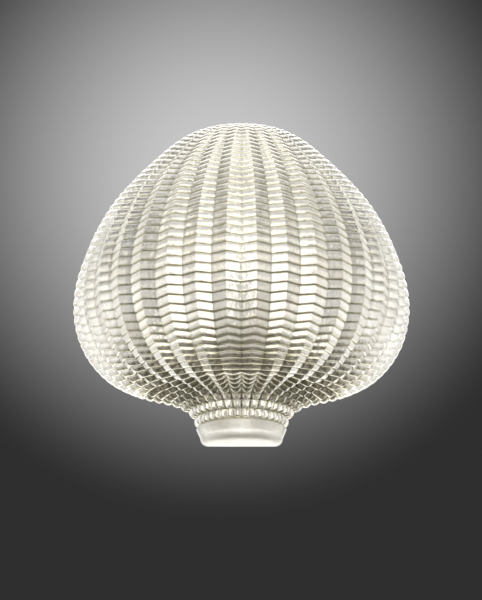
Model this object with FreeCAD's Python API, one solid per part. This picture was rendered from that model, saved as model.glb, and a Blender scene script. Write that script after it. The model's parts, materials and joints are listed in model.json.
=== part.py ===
# Wall sconce: a half-round ribbed glass shade that hangs on a white steel back plate, with one upright bulb.
# Millimetres. The wall is the plane y = 0, the lamp stands out towards -Y, and +Z is up.
# The origin lies on the wall, midway between the two fixing slots.

import FreeCAD, Part
import math
import os

vec = FreeCAD.Vector
across = vec(1, 0, 0)
up = vec(0, 0, 1)
outwards = vec(0, -1, 0)

# Clearances
running_gap = 0.05          # shaft in its hole, radial
seat_gap = 0.1              # loose faces that rest on each other
soft_gap = 0.3              # rubber beside glass
glass_to_plate = 2.5        # glass wall to the edge of the back plate
rim_gap = 1.0               # back edge of the glass to the wall

# Glass shade. Heights are above its foot, radii run to the crests of the ribs.
foot_drop = 120.0           # foot of the glass below the origin
foot_corner = 6.5
collar_radius = 34.0
hem_height = 15.0           # the ribs end here, above a plain collar
hem_radius = 37.6
neck_height = 24.0
neck_radius = 42.0
throat_height = 30.0
throat_radius = 50.0
flare = [(73.0, 36.0), (92.0, 42.0), (107.5, 50.0), (119.0, 60.0), (130.0, 75.0)]
bulge_radius = 140.7
bulge_height = 117.0
crown_height = 272.0
shoulder = [(130.0, 107.0), (105.5, 62.0), (76.0, 29.0), (52.0, 8.0)]  # drop below the crown
crown_radius = 32.0         # flat on top that the clamp screw bears on
rib_count = 16
rib_relief = 3.2            # crest above groove at the bulge
rib_fade = 14.0             # length over which a rib dies out at either end
row_height = 7.1            # of the rows across the ribs
row_growth = 0.19           # how much taller they are about the bulge
row_growth_reach = 45.0     # how far from the bulge that is felt
row_relief = 1.3            # lip of a row above the start of the next
row_lip = 0.34              # share of a row that lies under its lip
row_least_share = 0.55      # of the relief, where the shade is narrow
row_samples = 800           # points at which the rows are counted
row_climb = 3.6             # how much higher a row stands on a crest than in a groove
glass_wall = 3.6            # under a groove, at the lip of a row
foot_wall = 5.0
inner_corner = 5.0          # rounding inside the foot
neck_sections = 5           # of the ribs below the rows
section_count = 22          # points that carry the line of the inside

# Clamp on the crown
clamp_reach = 15.0          # screw axis from the wall
clamp_screw_radius = 2.0
clamp_head_radius = 5.0
clamp_head_height = 3.0
clamp_head_chamfer = 0.4
clamp_head_knurls = 18
knurl_radius = 0.4
knurl_outset = 0.1          # centre of a knurl's groove outside the head
clamp_washer_radius = 6.0
clamp_washer_thickness = 0.8
notch_play = 0.6
shelf_nut_radius = 3.5
shelf_nut_flange = 4.6
shelf_nut_length = 6.0
shelf_nut_rim = 0.8
shelf_pad_thickness = 1.0
screw_past_nut = 1.0

# Back plate
plate_sheet = 1.2
plate_stand_off = 8.0       # hollow behind the plate for the supply cable
plate_bottom = 13.0         # above the foot of the glass
plate_top_drop = 22.0       # below the crown
sheet_bend = 1.5            # bend radius at the middle of the sheet
shelf_width = 22.0
shelf_length = 23.0         # shelf from the wall
slot_spacing = 70.0
slot_width = 5.0
slot_length = 12.0
well_mouth = 14.0           # radius of a fixing well at the face of the plate
well_floor = 11.0           # radius at the wall
tongue_height = 20.0        # above the foot of the glass
tongue_width = 6.0
tongue_offset = -4.0        # the tongue stands left of the middle
tongue_relief = 1.0         # gap round the tongue in the sheet
buffer_radius = 5.5
buffer_thickness = 3.6

# Lampholder bracket
bracket_sheet = 1.5
bracket_bend = 2.25         # bend radius at the middle of the sheet
bracket_width = 24.0
bracket_level = -64.0       # top of the bracket's shelf
bracket_rise = 34.0         # length of its leg up the plate
bracket_past_holder = 17.0
holder_reach = 46.0         # holder axis from the wall
rivet_radius = 1.6
rivet_head_radius = 3.2
rivet_head = 1.2
rivet_tail_radius = 2.3
rivet_tail = 2.0
rivet_inset = 7.0           # upper rivet from the top of the leg
rivet_spacing = 12.0

# Nipple that holds the lampholder on its bracket
nipple_radius = 5.0
nipple_bore = 3.9
nipple_below = 4.4
nipple_above = 5.0
nipple_nut_flats = 14.0
nipple_nut_height = 3.0
nipple_nut_chamfer = 1.0
nipple_washer_radius = 8.0
nipple_washer_thickness = 0.8

# Lampholder, edison thread of 27 mm
holder_radius = 20.0
holder_wall = 2.0
cap_height = 18.0
cap_foot_radius = 12.0
cap_spigot = 4.0
cap_boss_radius = 8.0
cap_boss_height = 6.0
sleeve_height = 39.0
sleeve_lip = 2.0
core_height = 6.0
core_rim_gap = 0.3
wire_hole_radius = 1.6
wire_hole_offset = 8.0
screw_shell_radius = 13.3   # inside
screw_shell_sheet = 0.5
screw_shell_height = 24.0
screw_shell_hole = 9.0
contact_sheet = 0.5
contact_width = 5.0
contact_rise = 2.6
contact_run = 7.0
terminal_size = 5.0
holder_screw_radius = 1.3
holder_screw_head = 2.4

# Bulb, a household globe lamp
cap_radius = 13.1
bulb_cap_length = 23.0
bulb_cap_sheet = 0.4
bulb_cap_shoulder = 1.0     # bevel at the lower rim of the cap
insulator_height = 4.0
insulator_tip_radius = 5.5
insulator_top_radius = 9.5
tip_radius = 4.5
tip_height = 1.2
bulb_length = 105.0
globe_radius = 30.0
globe_wall = 1.0
globe_neck_height = 8.0

# Terminal block, three poles
block_left = 27.0
block_bottom = -66.0
pole_pitch = 10.0
pole_count = 3
block_height = 20.0
block_depth = 15.0
block_rounding = 1.2
insert_inset = 1.5          # ends of the brass inside the block
insert_outer = 2.9
insert_bore = 1.9
clamp_screw_pitch = 9.0
block_screw_radius = 1.4
block_screw_well = 2.2
block_screw_depth = 1.5     # ends of the clamping screws below the face
screw_slot_depth = 0.8
screw_slot_width = 0.5
block_fixing_radius = 1.5
block_fixing_head = 2.6
block_fixing_past = 2.0

# Earth point
earth_x = 70.0
earth_z = -48.0
earth_screw_radius = 2.0
earth_head_radius = 3.8
earth_head = 2.4
earth_screw_past = 3.0
lug_radius = 4.2
lug_thickness = 0.8
lug_neck = 1.0              # ring to barrel
lug_barrel_radius = 1.9
lug_barrel_length = 7.0
earth_washer_radius = 3.9
earth_washer_thickness = 0.7

# Inlet grommet
grommet_x = 42.0
grommet_z = -27.0
grommet_bore = 4.5
grommet_hole = 8.0          # radius of its hole in the plate
grommet_flange = 10.0
grommet_lip = 2.0

# Inner wires
wire_radius = 1.0
wire_spacing = 3.0          # between the two wires in the nipple
wire_bend = 4.0             # largest bend that the room round the nipple leaves
live_drop = 9.0             # how far each lead dips below the block
neutral_drop = 12.0
earth_drop = 10.0
lead_turn = (10.0, 8.0)     # first step of a lead from the block towards the nipple, left and out

# Worked out from the sizes above
foot_z = -foot_drop
plate_face = -plate_stand_off - plate_sheet
crown_top = foot_z + crown_height
crown_under = crown_top - glass_wall
shelf_top = crown_under - seat_gap - shelf_pad_thickness
bracket_front = plate_face - bracket_sheet
cap_top = bracket_level + cap_height
core_bottom = cap_top + cap_spigot
core_top = core_bottom + core_height
contact_top = core_top + contact_rise
bulb_tip = contact_top + seat_gap
insulator_bottom = bulb_tip + tip_height
bulb_cap_bottom = insulator_bottom + insulator_height
bulb_cap_top = bulb_cap_bottom + bulb_cap_length
bulb_top = bulb_tip + bulb_length
nipple_bottom = bracket_level - bracket_sheet - nipple_below
block_front = plate_face - block_depth
pole_y = plate_face - block_depth / 2


# Basic shapes

def cylinder(radius, start, direction, length):
    return Part.makeCylinder(radius, length, start, direction)


def tube(outer, inner, start, direction, length):
    return cylinder(outer, start, direction, length).cut(cylinder(inner, start, direction, length))


def block(x_range, y_range, z_range):
    low = vec(min(x_range), min(y_range), min(z_range))
    high = vec(max(x_range), max(y_range), max(z_range))
    size = high - low
    return Part.makeBox(size.x, size.y, size.z, low)


def unit(direction):
    return vec(direction) / direction.Length


def turned(points, angle=360.0):
    """A closed outline of (radius, height) points turned about the Z axis."""
    outline = Part.makePolygon([vec(r, 0, z) for r, z in points + points[:1]])
    return Part.Face(outline).revolve(vec(0, 0, 0), up, angle)


def moved(shape, x, y, z):
    shape = shape.copy()
    shape.translate(vec(x, y, z))
    return shape


def hexagon(flats, start, height):
    corner = flats / math.sqrt(3)
    angles = [math.radians(60 * i) for i in range(7)]
    points = [start + vec(corner * math.cos(a), corner * math.sin(a), 0) for a in angles]
    return Part.Face(Part.makePolygon(points)).extrude(up * height)


def rounded_path(points, radius):
    """Straight runs joined by tangent arcs, smaller where a run is too short for the radius."""
    edges = []
    start = points[0]
    for before, corner, after in zip(points, points[1:], points[2:]):
        inward = unit(corner - before)
        onward = unit(after - corner)
        half_turn = inward.getAngle(onward) / 2
        shorter = min((corner - before).Length, (after - corner).Length)
        bend = min(radius, 0.45 * shorter / math.tan(half_turn))
        reach = bend * math.tan(half_turn)
        middle = corner + unit(onward - inward) * bend * (1 / math.cos(half_turn) - 1)
        edges.append(Part.LineSegment(start, corner - inward * reach).toShape())
        start = corner + onward * reach
        edges.append(Part.Arc(corner - inward * reach, middle, start).toShape())
    edges.append(Part.LineSegment(start, points[-1]).toShape())
    return Part.Wire(edges)


def strip(points, sheet, width, bend, side=across):
    """Sheet metal strip along a path through the middle of the sheet."""
    normal = unit(points[1] - points[0]).cross(side)
    half_width = side * width / 2
    half_sheet = normal * sheet / 2
    signs = [(1, 1), (-1, 1), (-1, -1), (1, -1), (1, 1)]
    corners = [points[0] + half_width * a + half_sheet * b for a, b in signs]
    return rounded_path(points, bend).makePipeShell([Part.makePolygon(corners)], True, False)


def round_wire(points, radius):
    """A round lead along straight runs and tangent arcs."""
    path = rounded_path(points, wire_bend)
    circle = Part.makeCircle(radius, points[0], points[1] - points[0])
    lead = path.makePipeShell([Part.Wire([circle])], True, False)
    share = lead.Volume / (math.pi * radius ** 2 * path.Length)
    print("lead of", round(path.Length, 1), "mm, volume over section times length", round(share, 4))
    return lead


# Glass shade

def crest_curve():
    """Line of the rib crests from the foot corner to the crown, as radius along X and height along Z."""
    low = [(collar_radius, foot_corner), (hem_radius, hem_height), (neck_radius, neck_height)]
    low.append((throat_radius, throat_height))
    high = [(r, crown_height - drop) for r, drop in shoulder] + [(crown_radius, crown_height)]
    points = [vec(r, 0, foot_z + h) for r, h in low + flare + [(bulge_radius, bulge_height)] + high]
    curve = Part.BSplineCurve()
    curve.interpolate(Points=points)
    return curve


def at_height(curve, z):
    """Where the curve passes a height, found by halving, as the curve climbs all the way."""
    low, high = curve.FirstParameter, curve.LastParameter
    for _ in range(50):
        middle = (low + high) / 2
        if curve.value(middle).z < z:
            low = middle
        else:
            high = middle
    return low


def outward_normal(curve, u):
    along = curve.tangent(u)[0]
    return unit(vec(along.z, 0, -along.x))


def fade_at(curve, u, lowest):
    """Ribs and rows die out at the crown and towards the height where they begin."""
    point = curve.value(u)
    start = curve.value(at_height(curve, foot_z + lowest))
    end = curve.value(curve.LastParameter)
    reach = min((point - start).Length, (point - end).Length)
    if point.z < start.z:
        reach = 0.0
    return math.sin(min(1.0, reach / rib_fade) * math.pi / 2)


def groove_depth(curve, u):
    """Ribs are as deep as their width asks."""
    return rib_relief * curve.value(u).x / bulge_radius * fade_at(curve, u, hem_height)


def row_depth(curve, u):
    """Depth of the step between two rows, less where the shade is narrow."""
    share = min(1.0, max(row_least_share, math.sqrt(2) * curve.value(u).x / bulge_radius))
    return row_relief * share * fade_at(curve, u, throat_height)


def inner_curve(distance):
    """The crest line moved inwards past the grooves by a distance."""
    crest = crest_curve()
    span = crest.LastParameter - crest.FirstParameter
    points = []
    for i in range(section_count + 1):
        u = crest.FirstParameter + span * i / section_count
        inset = groove_depth(crest, u) + distance
        points.append(crest.value(u) - outward_normal(crest, u) * inset)
    curve = Part.BSplineCurve()
    curve.interpolate(Points=points)
    return curve


def inner_radius(z):
    curve = inner_curve(glass_wall)
    return curve.value(at_height(curve, z)).x


def turned_to(point, angle):
    return vec(point.x * math.cos(angle), -point.x * math.sin(angle), point.z)


def rib_section(crest, u, sunk):
    """Half ring of roof-shaped ribs at one station of the crest line, closed straight across at the wall."""
    climb = row_climb * fade_at(crest, u, throat_height) * min(1.0, crest.value(u).x / bulge_radius)
    speed = crest.getD1(u)[1].Length
    on_crest = min(crest.LastParameter, u + climb / speed)
    ridge = crest.value(on_crest) - outward_normal(crest, on_crest) * sunk
    groove = crest.value(u) - outward_normal(crest, u) * (groove_depth(crest, u) + sunk)
    step = math.pi / rib_count
    corners = [turned_to(groove, 0)]
    for i in range(rib_count):
        corners.append(turned_to(ridge, (i + 0.5) * step))
        corners.append(turned_to(groove, (i + 1) * step))
    return Part.makePolygon(corners + corners[:1])


def row_stations(crest):
    """Where the rows meet along the crest line, from the throat to the crown, taller about the bulge."""
    start = at_height(crest, foot_z + throat_height)
    span = crest.LastParameter - start
    fine = [start + span * i / row_samples for i in range(row_samples + 1)]
    counted = [0.0]
    for before, after in zip(fine, fine[1:]):
        off = (crest.value(after).z - foot_z - bulge_height) / row_growth_reach
        height = row_height * (1 + row_growth * math.exp(-off ** 2))
        counted.append(counted[-1] + crest.length(before, after) / height)
    rows = round(counted[-1])
    stations = []
    for i in range(rows + 1):
        wanted = counted[-1] * i / rows
        k = min(range(row_samples + 1), key=lambda n: abs(counted[n] - wanted))
        stations.append(fine[k])
    return stations


def collar():
    """Plain foot of the shade below the hem, with a rounded edge."""
    crest = crest_curve()
    hem = at_height(crest, foot_z + hem_height)
    start = crest.value(crest.FirstParameter)
    end = crest.value(hem)
    side = crest.copy()
    side.segment(crest.FirstParameter, hem)
    round_off = foot_corner * (1 - math.sqrt(0.5))
    edge_middle = vec(start.x - round_off, 0, foot_z + round_off)
    edge_end = vec(start.x - foot_corner, 0, foot_z)
    edges = [
        Part.LineSegment(vec(0, 0, end.z), vec(0, 0, foot_z)).toShape(),
        Part.LineSegment(vec(0, 0, foot_z), edge_end).toShape(),
        Part.Arc(edge_end, edge_middle, start).toShape(),
        side.toShape(),
        Part.LineSegment(end, vec(0, 0, end.z)).toShape(),
    ]
    return Part.Face(Part.Wire(edges)).revolve(vec(0, 0, 0), up, -180)


def ribbed_part():
    """Ribs from the hem up, crossed above the neck by rows like clapboards, lip near the lower edge."""
    crest = crest_curve()
    stations = row_stations(crest)
    hem = at_height(crest, foot_z + hem_height)
    sections = []
    for i in range(neck_sections):
        sections.append(rib_section(crest, hem + (stations[0] - hem) * i / neck_sections, 0))
    for low, high in zip(stations, stations[1:]):
        sections.append(rib_section(crest, low, row_depth(crest, low)))
        sections.append(rib_section(crest, low + (high - low) * row_lip, 0))
    sections.append(rib_section(crest, stations[-1], 0))
    return Part.makeLoft(sections, True, True)


def shade_hollow():
    """Smooth inside of the shade, turned all the way so that it opens the back."""
    curve = inner_curve(glass_wall)
    floor_z = foot_z + foot_wall
    low = at_height(curve, floor_z + inner_corner)
    high = at_height(curve, crown_under)
    side = curve.copy()
    side.segment(low, high)
    start = curve.value(low)
    end = curve.value(high)
    round_off = inner_corner * (1 - math.sqrt(0.5))
    edge_middle = vec(start.x - round_off, 0, floor_z + round_off)
    edge_end = vec(start.x - inner_corner, 0, floor_z)
    edges = [
        Part.LineSegment(vec(0, 0, end.z), vec(0, 0, floor_z)).toShape(),
        Part.LineSegment(vec(0, 0, floor_z), edge_end).toShape(),
        Part.Arc(edge_end, edge_middle, start).toShape(),
        side.toShape(),
        Part.LineSegment(end, vec(0, 0, end.z)).toShape(),
    ]
    return Part.Face(Part.Wire(edges)).revolve(vec(0, 0, 0), up, 360)


def clamp_notch():
    """Slot in the crown that lets the shade draw forward off its screw."""
    radius = clamp_screw_radius + notch_play
    low = crown_under - glass_wall
    axis = vec(0, -clamp_reach, low)
    high = crown_top + glass_wall
    return cylinder(radius, axis, up, high - low).fuse(
        block((-radius, radius), (-clamp_reach, 0), (low, high)))


def glass_shell():
    behind_rim = block((-2 * bulge_radius, 2 * bulge_radius), (-rim_gap, 2 * bulge_radius),
                       (foot_z - foot_wall, crown_top + foot_wall))
    body = ribbed_part().fuse(collar()).cut(behind_rim)
    return body.cut(shade_hollow().cut(behind_rim)).cut(clamp_notch())


# Clamp on the crown

def clamp_washer():
    return tube(clamp_washer_radius, clamp_screw_radius + running_gap,
                vec(0, -clamp_reach, crown_top + running_gap), up, clamp_washer_thickness)


def clamp_screw():
    head_bottom = crown_top + running_gap + clamp_washer_thickness
    shank_bottom = shelf_top - shelf_nut_length - screw_past_nut
    axis = vec(0, -clamp_reach, 0)
    head = cylinder(clamp_head_radius, axis + up * head_bottom, up, clamp_head_height)
    middle = head_bottom + clamp_head_height / 2
    rim = [edge for edge in head.Edges if edge.Closed and edge.BoundBox.ZMin > middle]
    head = head.makeChamfer(clamp_head_chamfer, rim)
    for i in range(clamp_head_knurls):
        turn = 2 * math.pi * i / clamp_head_knurls
        spot = vec(math.cos(turn), math.sin(turn), 0) * (clamp_head_radius + knurl_outset)
        head = head.cut(cylinder(knurl_radius, axis + spot + up * head_bottom, up, clamp_head_height))
    shank = cylinder(clamp_screw_radius, axis + up * shank_bottom, up, head_bottom - shank_bottom)
    return head.fuse(shank)


def shelf_nut():
    """Rivet nut, pressed up through the shelf from below."""
    axis = vec(0, -clamp_reach, 0)
    barrel_bottom = shelf_top - shelf_nut_length
    nut = cylinder(shelf_nut_radius, axis + up * barrel_bottom, up, shelf_nut_length)
    flange_top = shelf_top - plate_sheet
    flange = cylinder(shelf_nut_flange, axis + up * (flange_top - shelf_nut_rim), up, shelf_nut_rim)
    bore = cylinder(clamp_screw_radius + running_gap, axis + up * barrel_bottom, up, shelf_nut_length)
    return nut.fuse(flange).cut(bore)


def shelf_pad():
    half = shelf_width / 2
    pad = block((-half, half), (plate_face, -shelf_length), (shelf_top, shelf_top + shelf_pad_thickness))
    hole = cylinder(shelf_nut_radius, vec(0, -clamp_reach, shelf_top), up, shelf_pad_thickness)
    return pad.cut(hole)


# Back plate

def outline_face(distance, y, low, high):
    """Outline of the shade's inside, drawn in by a distance and cut off level at two heights."""
    curve = inner_curve(glass_wall + distance)
    curve.segment(at_height(curve, low), at_height(curve, high))
    right = curve.toShape()
    left = right.mirror(vec(0, 0, 0), across)
    start, end = curve.StartPoint, curve.EndPoint
    bottom = Part.LineSegment(vec(-start.x, 0, start.z), start).toShape()
    top = Part.LineSegment(end, vec(-end.x, 0, end.z)).toShape()
    face = Part.Face(Part.Wire([bottom, right, top, left]))
    return moved(face, 0, y, 0)


def fixing_well(side):
    """Sunk dish that brings the sheet back to the wall round a fixing slot."""
    centre = vec(side * slot_spacing / 2, plate_face, 0)
    to_wall = vec(0, 1, 0)
    depth = -plate_face
    mouth = well_mouth - plate_sheet
    floor = well_floor - plate_sheet
    dish = Part.makeCone(well_mouth, well_floor, depth, centre, to_wall)
    return dish, Part.makeCone(mouth, floor, depth - plate_sheet, centre, to_wall)


def fixing_slot(side):
    x = side * slot_spacing / 2
    radius = slot_width / 2
    straight = slot_length / 2 - radius
    slot = block((x - straight, x + straight), (-plate_sheet, 0), (-radius, radius))
    for end in (-1, 1):
        start = vec(x + end * straight, -plate_sheet, 0)
        slot = slot.fuse(cylinder(radius, start, vec(0, 1, 0), plate_sheet))
    return slot


def tongue_tip():
    """Middle of the buffer, which stands off the front wall of the neck."""
    z = foot_z + tongue_height
    reach = inner_radius(z - buffer_thickness / 2) - soft_gap - buffer_radius
    return vec(tongue_offset, -math.sqrt(reach ** 2 - tongue_offset ** 2), z)


def tongue():
    """Strip cut free in the sheet and bent forwards at its lower end."""
    tip = tongue_tip()
    sheet_middle = plate_face + plate_sheet / 2
    root = vec(tip.x, sheet_middle, tip.z - 3 * sheet_bend)
    return strip([root, vec(tip.x, sheet_middle, tip.z), tip], plate_sheet, tongue_width, sheet_bend)


def tongue_window():
    """Opening that the tongue leaves in the sheet, from its bend up to where its end was."""
    tip = tongue_tip()
    half = tongue_width / 2 + tongue_relief
    low = tip.z - sheet_bend
    high = tip.z + plate_face - tip.y
    return block((tip.x - half, tip.x + half), (plate_face, -plate_stand_off), (low, high))


def top_shelf():
    sheet_middle = plate_face + plate_sheet / 2
    level = shelf_top - plate_sheet / 2
    start = crown_top - plate_top_drop - plate_sheet
    return strip([vec(0, sheet_middle, start), vec(0, sheet_middle, level), vec(0, -shelf_length, level)],
                 plate_sheet, shelf_width, sheet_bend)


def back_plate():
    low, high = foot_z + plate_bottom, crown_top - plate_top_drop
    pan = outline_face(glass_to_plate, plate_face, low, high).extrude(vec(0, -plate_face, 0))
    inset = glass_to_plate + plate_sheet
    hollow = outline_face(inset, -plate_stand_off, low + plate_sheet, high - plate_sheet)
    plate = pan.cut(hollow.extrude(vec(0, plate_stand_off, 0)))
    for side in (-1, 1):
        dish, dish_hollow = fixing_well(side)
        plate = plate.fuse(dish).cut(dish_hollow).cut(fixing_slot(side))
    plate = plate.cut(tongue_window()).fuse(tongue()).fuse(top_shelf())
    plate = plate.cut(cylinder(shelf_nut_radius, vec(0, -clamp_reach, shelf_top - 2 * plate_sheet), up,
                               3 * plate_sheet))
    plate = plate.cut(through_plate(grommet_hole, grommet_x, grommet_z))
    plate = plate.cut(through_plate(earth_screw_radius + running_gap, earth_x, earth_z))
    fixing = block_fixing_spot()
    plate = plate.cut(through_plate(block_fixing_radius + running_gap, fixing.x, fixing.z))
    for z in rivet_heights():
        plate = plate.cut(through_plate(rivet_radius + running_gap, 0, z))
    return plate


def through_plate(radius, x, z):
    return cylinder(radius, vec(x, plate_face - plate_sheet, z), vec(0, 1, 0), 3 * plate_sheet)


def tongue_buffer():
    """Rubber button pushed over the end of the tongue."""
    tip = tongue_tip()
    button = cylinder(buffer_radius, tip - up * buffer_thickness / 2, up, buffer_thickness)
    edges = [edge for edge in button.Edges if edge.Closed]
    button = button.makeFillet(buffer_thickness / 5, edges)
    return button.cut(tongue())


# Lampholder bracket

def lampholder_bracket():
    leg_y = bracket_front + bracket_sheet / 2
    level = bracket_level - bracket_sheet / 2
    reach = holder_reach + bracket_past_holder
    arm = strip([vec(0, leg_y, level + bracket_rise), vec(0, leg_y, level), vec(0, -reach, level)],
                bracket_sheet, bracket_width, bracket_bend)
    arm = arm.cut(cylinder(nipple_radius + 2 * running_gap, vec(0, -holder_reach, level - bracket_sheet),
                           up, 2 * bracket_sheet))
    for z in rivet_heights():
        arm = arm.cut(cylinder(rivet_radius + running_gap, vec(0, leg_y - bracket_sheet, z),
                               vec(0, 1, 0), 2 * bracket_sheet))
    return arm


def rivet_heights():
    highest = bracket_level + bracket_rise - rivet_inset
    return [highest, highest - rivet_spacing]


def bracket_rivets():
    rivets = []
    to_wall = vec(0, 1, 0)
    for z in rivet_heights():
        head = cylinder(rivet_head_radius, vec(0, bracket_front, z), outwards, rivet_head)
        crown = bracket_front - rivet_head / 2
        rim = [edge for edge in head.Edges if edge.Closed and edge.BoundBox.YMax < crown]
        head = head.makeFillet(rivet_head / 2, rim)
        shank = cylinder(rivet_radius, vec(0, bracket_front, z), to_wall, bracket_sheet + plate_sheet)
        tail = cylinder(rivet_tail_radius, vec(0, -plate_stand_off, z), to_wall, rivet_tail)
        rivets.append(head.fuse(shank).fuse(tail))
    return Part.makeCompound(rivets)


# Nipple

def nipple():
    length = nipple_below + bracket_sheet + nipple_above
    return tube(nipple_radius, nipple_bore, vec(0, -holder_reach, nipple_bottom), up, length)


def nipple_washer():
    start = vec(0, -holder_reach, bracket_level - bracket_sheet)
    return tube(nipple_washer_radius, nipple_radius + running_gap, start, up * -1, nipple_washer_thickness)


def nipple_nut():
    top = bracket_level - bracket_sheet - nipple_washer_thickness
    start = vec(0, -holder_reach, top - nipple_nut_height)
    nut = hexagon(nipple_nut_flats, start, nipple_nut_height)
    low = nipple_nut_flats / math.sqrt(3) - nipple_nut_chamfer
    chamfered = Part.makeCone(low, low + nipple_nut_height, nipple_nut_height, start, up)
    bore = cylinder(nipple_radius + running_gap, start, up, nipple_nut_height)
    return nut.common(chamfered).cut(bore)


# Lampholder

def holder_cap():
    """Lower cup, screwed on the nipple by its boss, with a spigot that the sleeve fits over."""
    spigot = holder_radius - holder_wall - running_gap
    foot = bracket_level
    outline = [
        (cap_foot_radius, foot), (holder_radius, foot + cap_height / 2), (holder_radius, cap_top),
        (spigot, cap_top), (spigot, core_bottom), (spigot - holder_wall, core_bottom),
        (spigot - holder_wall, foot + cap_height / 2 + holder_wall / 2),
        (cap_boss_radius, foot + holder_wall), (cap_boss_radius, foot + cap_boss_height),
        (nipple_radius + running_gap, foot + cap_boss_height), (nipple_radius + running_gap, foot),
    ]
    return moved(turned(outline), 0, -holder_reach, 0)


def holder_sleeve():
    """Outer barrel with a lip that keeps fingers from the screw shell."""
    inside = holder_radius - holder_wall
    mouth = screw_shell_radius + screw_shell_sheet + core_rim_gap
    top = cap_top + sleeve_height
    outline = [
        (inside, cap_top), (holder_radius, cap_top), (holder_radius, top - sleeve_lip / 2),
        (holder_radius - sleeve_lip / 2, top), (mouth, top), (mouth, top - sleeve_lip),
        (inside, top - sleeve_lip),
    ]
    return moved(turned(outline), 0, -holder_reach, 0)


def holder_core():
    """Insulating disc that carries the contacts, with a hole over each terminal."""
    radius = holder_radius - holder_wall - core_rim_gap
    core = cylinder(radius, vec(0, -holder_reach, core_bottom), up, core_height)
    for side in (-1, 1):
        spot = vec(side * wire_hole_offset, -holder_reach, core_bottom)
        core = core.cut(cylinder(wire_hole_radius, spot, up, core_height))
    return core


def screw_shell():
    """Threaded cup of the holder, drawn as its plain bore, with a flat ring that is riveted to the core."""
    outer = screw_shell_radius + screw_shell_sheet
    top = core_top + screw_shell_height
    outline = [
        (screw_shell_hole, core_top), (outer, core_top), (outer, top), (screw_shell_radius, top),
        (screw_shell_radius, core_top + screw_shell_sheet), (screw_shell_hole, core_top + screw_shell_sheet),
    ]
    return moved(turned(outline), 0, -holder_reach, 0)


def centre_contact():
    """Springy tongue that rises from its rivet to the tip of the bulb."""
    low = core_top + contact_sheet / 2
    high = contact_top - contact_sheet / 2
    points = [
        vec(-contact_run, -holder_reach, low), vec(-contact_run / 2, -holder_reach, low),
        vec(0, -holder_reach, high), vec(contact_run / 3, -holder_reach, high),
    ]
    return strip(points, contact_sheet, contact_width, contact_sheet * 2, vec(0, 1, 0))


def terminal_spots():
    return [vec(side * wire_hole_offset, -holder_reach, core_bottom) for side in (-1, 1)]


def holder_terminals():
    """Two brass blocks under the core, each bored from below for its wire."""
    half = terminal_size / 2
    blocks = []
    for spot in terminal_spots():
        body = block((spot.x - half, spot.x + half), (spot.y - half, spot.y + half),
                     (spot.z - terminal_size, spot.z))
        rivet = cylinder(wire_hole_radius - running_gap, spot, up, core_height)
        bore = cylinder(wire_radius + running_gap, spot - up * terminal_size, up, terminal_size * 0.8)
        screw_hole = cylinder(holder_screw_radius, spot + outwards * half - up * half, vec(0, 1, 0), half)
        blocks.append(body.fuse(rivet).cut(bore).cut(screw_hole))
    return Part.makeCompound(blocks)


def holder_terminal_screws():
    half = terminal_size / 2
    screws = []
    for spot in terminal_spots():
        seat = spot + outwards * half - up * half
        head = slotted_head(seat, outwards, holder_screw_head, holder_screw_radius)
        reach = half - wire_radius - running_gap
        screws.append(head.fuse(cylinder(holder_screw_radius, seat, outwards * -1, reach)))
    return Part.makeCompound(screws)


def slotted_head(seat, direction, radius, height):
    """Round screw head on its seat, with a driver slot across it that runs level."""
    head = cylinder(radius, seat, direction, height)
    slot_half = radius / 6
    slot = Part.makeBox(2 * radius, height, 2 * slot_half)
    slot.translate(vec(seat.x - radius, seat.y - 1.5 * height, seat.z - slot_half))
    return head.cut(slot)


# Bulb

def bulb_globe():
    """Opal glass envelope, open at the neck where the cap is cemented on."""
    centre = bulb_top - globe_radius
    neck = cap_radius - bulb_cap_sheet - running_gap
    neck_low = bulb_cap_top - globe_neck_height / 2
    neck_high = bulb_cap_top + globe_neck_height / 2

    def skin(inset):
        side = Part.BSplineCurve()
        side.interpolate(Points=[vec(neck - inset, 0, neck_high), vec(globe_radius - inset, 0, centre)],
                         InitialTangent=vec(0, 0, 1), FinalTangent=vec(0, 0, 1))
        slant = math.sqrt(0.5) * (globe_radius - inset)
        dome = Part.Arc(vec(globe_radius - inset, 0, centre), vec(slant, 0, centre + slant),
                        vec(0, 0, centre + globe_radius - inset))
        straight = Part.LineSegment(vec(neck - inset, 0, neck_low), vec(neck - inset, 0, neck_high))
        edges = [
            Part.LineSegment(vec(0, 0, neck_low), vec(neck - inset, 0, neck_low)).toShape(),
            straight.toShape(), side.toShape(), dome.toShape(),
            Part.LineSegment(vec(0, 0, centre + globe_radius - inset), vec(0, 0, neck_low)).toShape(),
        ]
        return Part.Face(Part.Wire(edges)).revolve(vec(0, 0, 0), up, 360)

    return moved(skin(0).cut(skin(globe_wall)), 0, -holder_reach, 0)


def bulb_cap():
    """Metal screw cap, drawn as the plain cylinder over its thread."""
    inside = cap_radius - bulb_cap_sheet
    outline = [
        (insulator_top_radius, bulb_cap_bottom), (cap_radius - bulb_cap_shoulder, bulb_cap_bottom),
        (cap_radius, bulb_cap_bottom + bulb_cap_shoulder), (cap_radius, bulb_cap_top),
        (inside, bulb_cap_top), (inside, bulb_cap_bottom + bulb_cap_shoulder + bulb_cap_sheet),
        (insulator_top_radius, bulb_cap_bottom + bulb_cap_sheet),
    ]
    return moved(turned(outline), 0, -holder_reach, 0)


def bulb_insulator():
    return Part.makeCone(insulator_tip_radius, insulator_top_radius, insulator_height,
                         vec(0, -holder_reach, insulator_bottom), up)


def bulb_contact():
    tip = cylinder(tip_radius, vec(0, -holder_reach, bulb_tip), up, tip_height)
    rim = [edge for edge in tip.Edges if edge.Closed and edge.BoundBox.ZMax < bulb_tip + tip_height / 2]
    return tip.makeFillet(tip_height / 2, rim)


# Terminal block on the plate

def pole_x(i):
    return block_left + pole_pitch * (i + 0.5)


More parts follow.
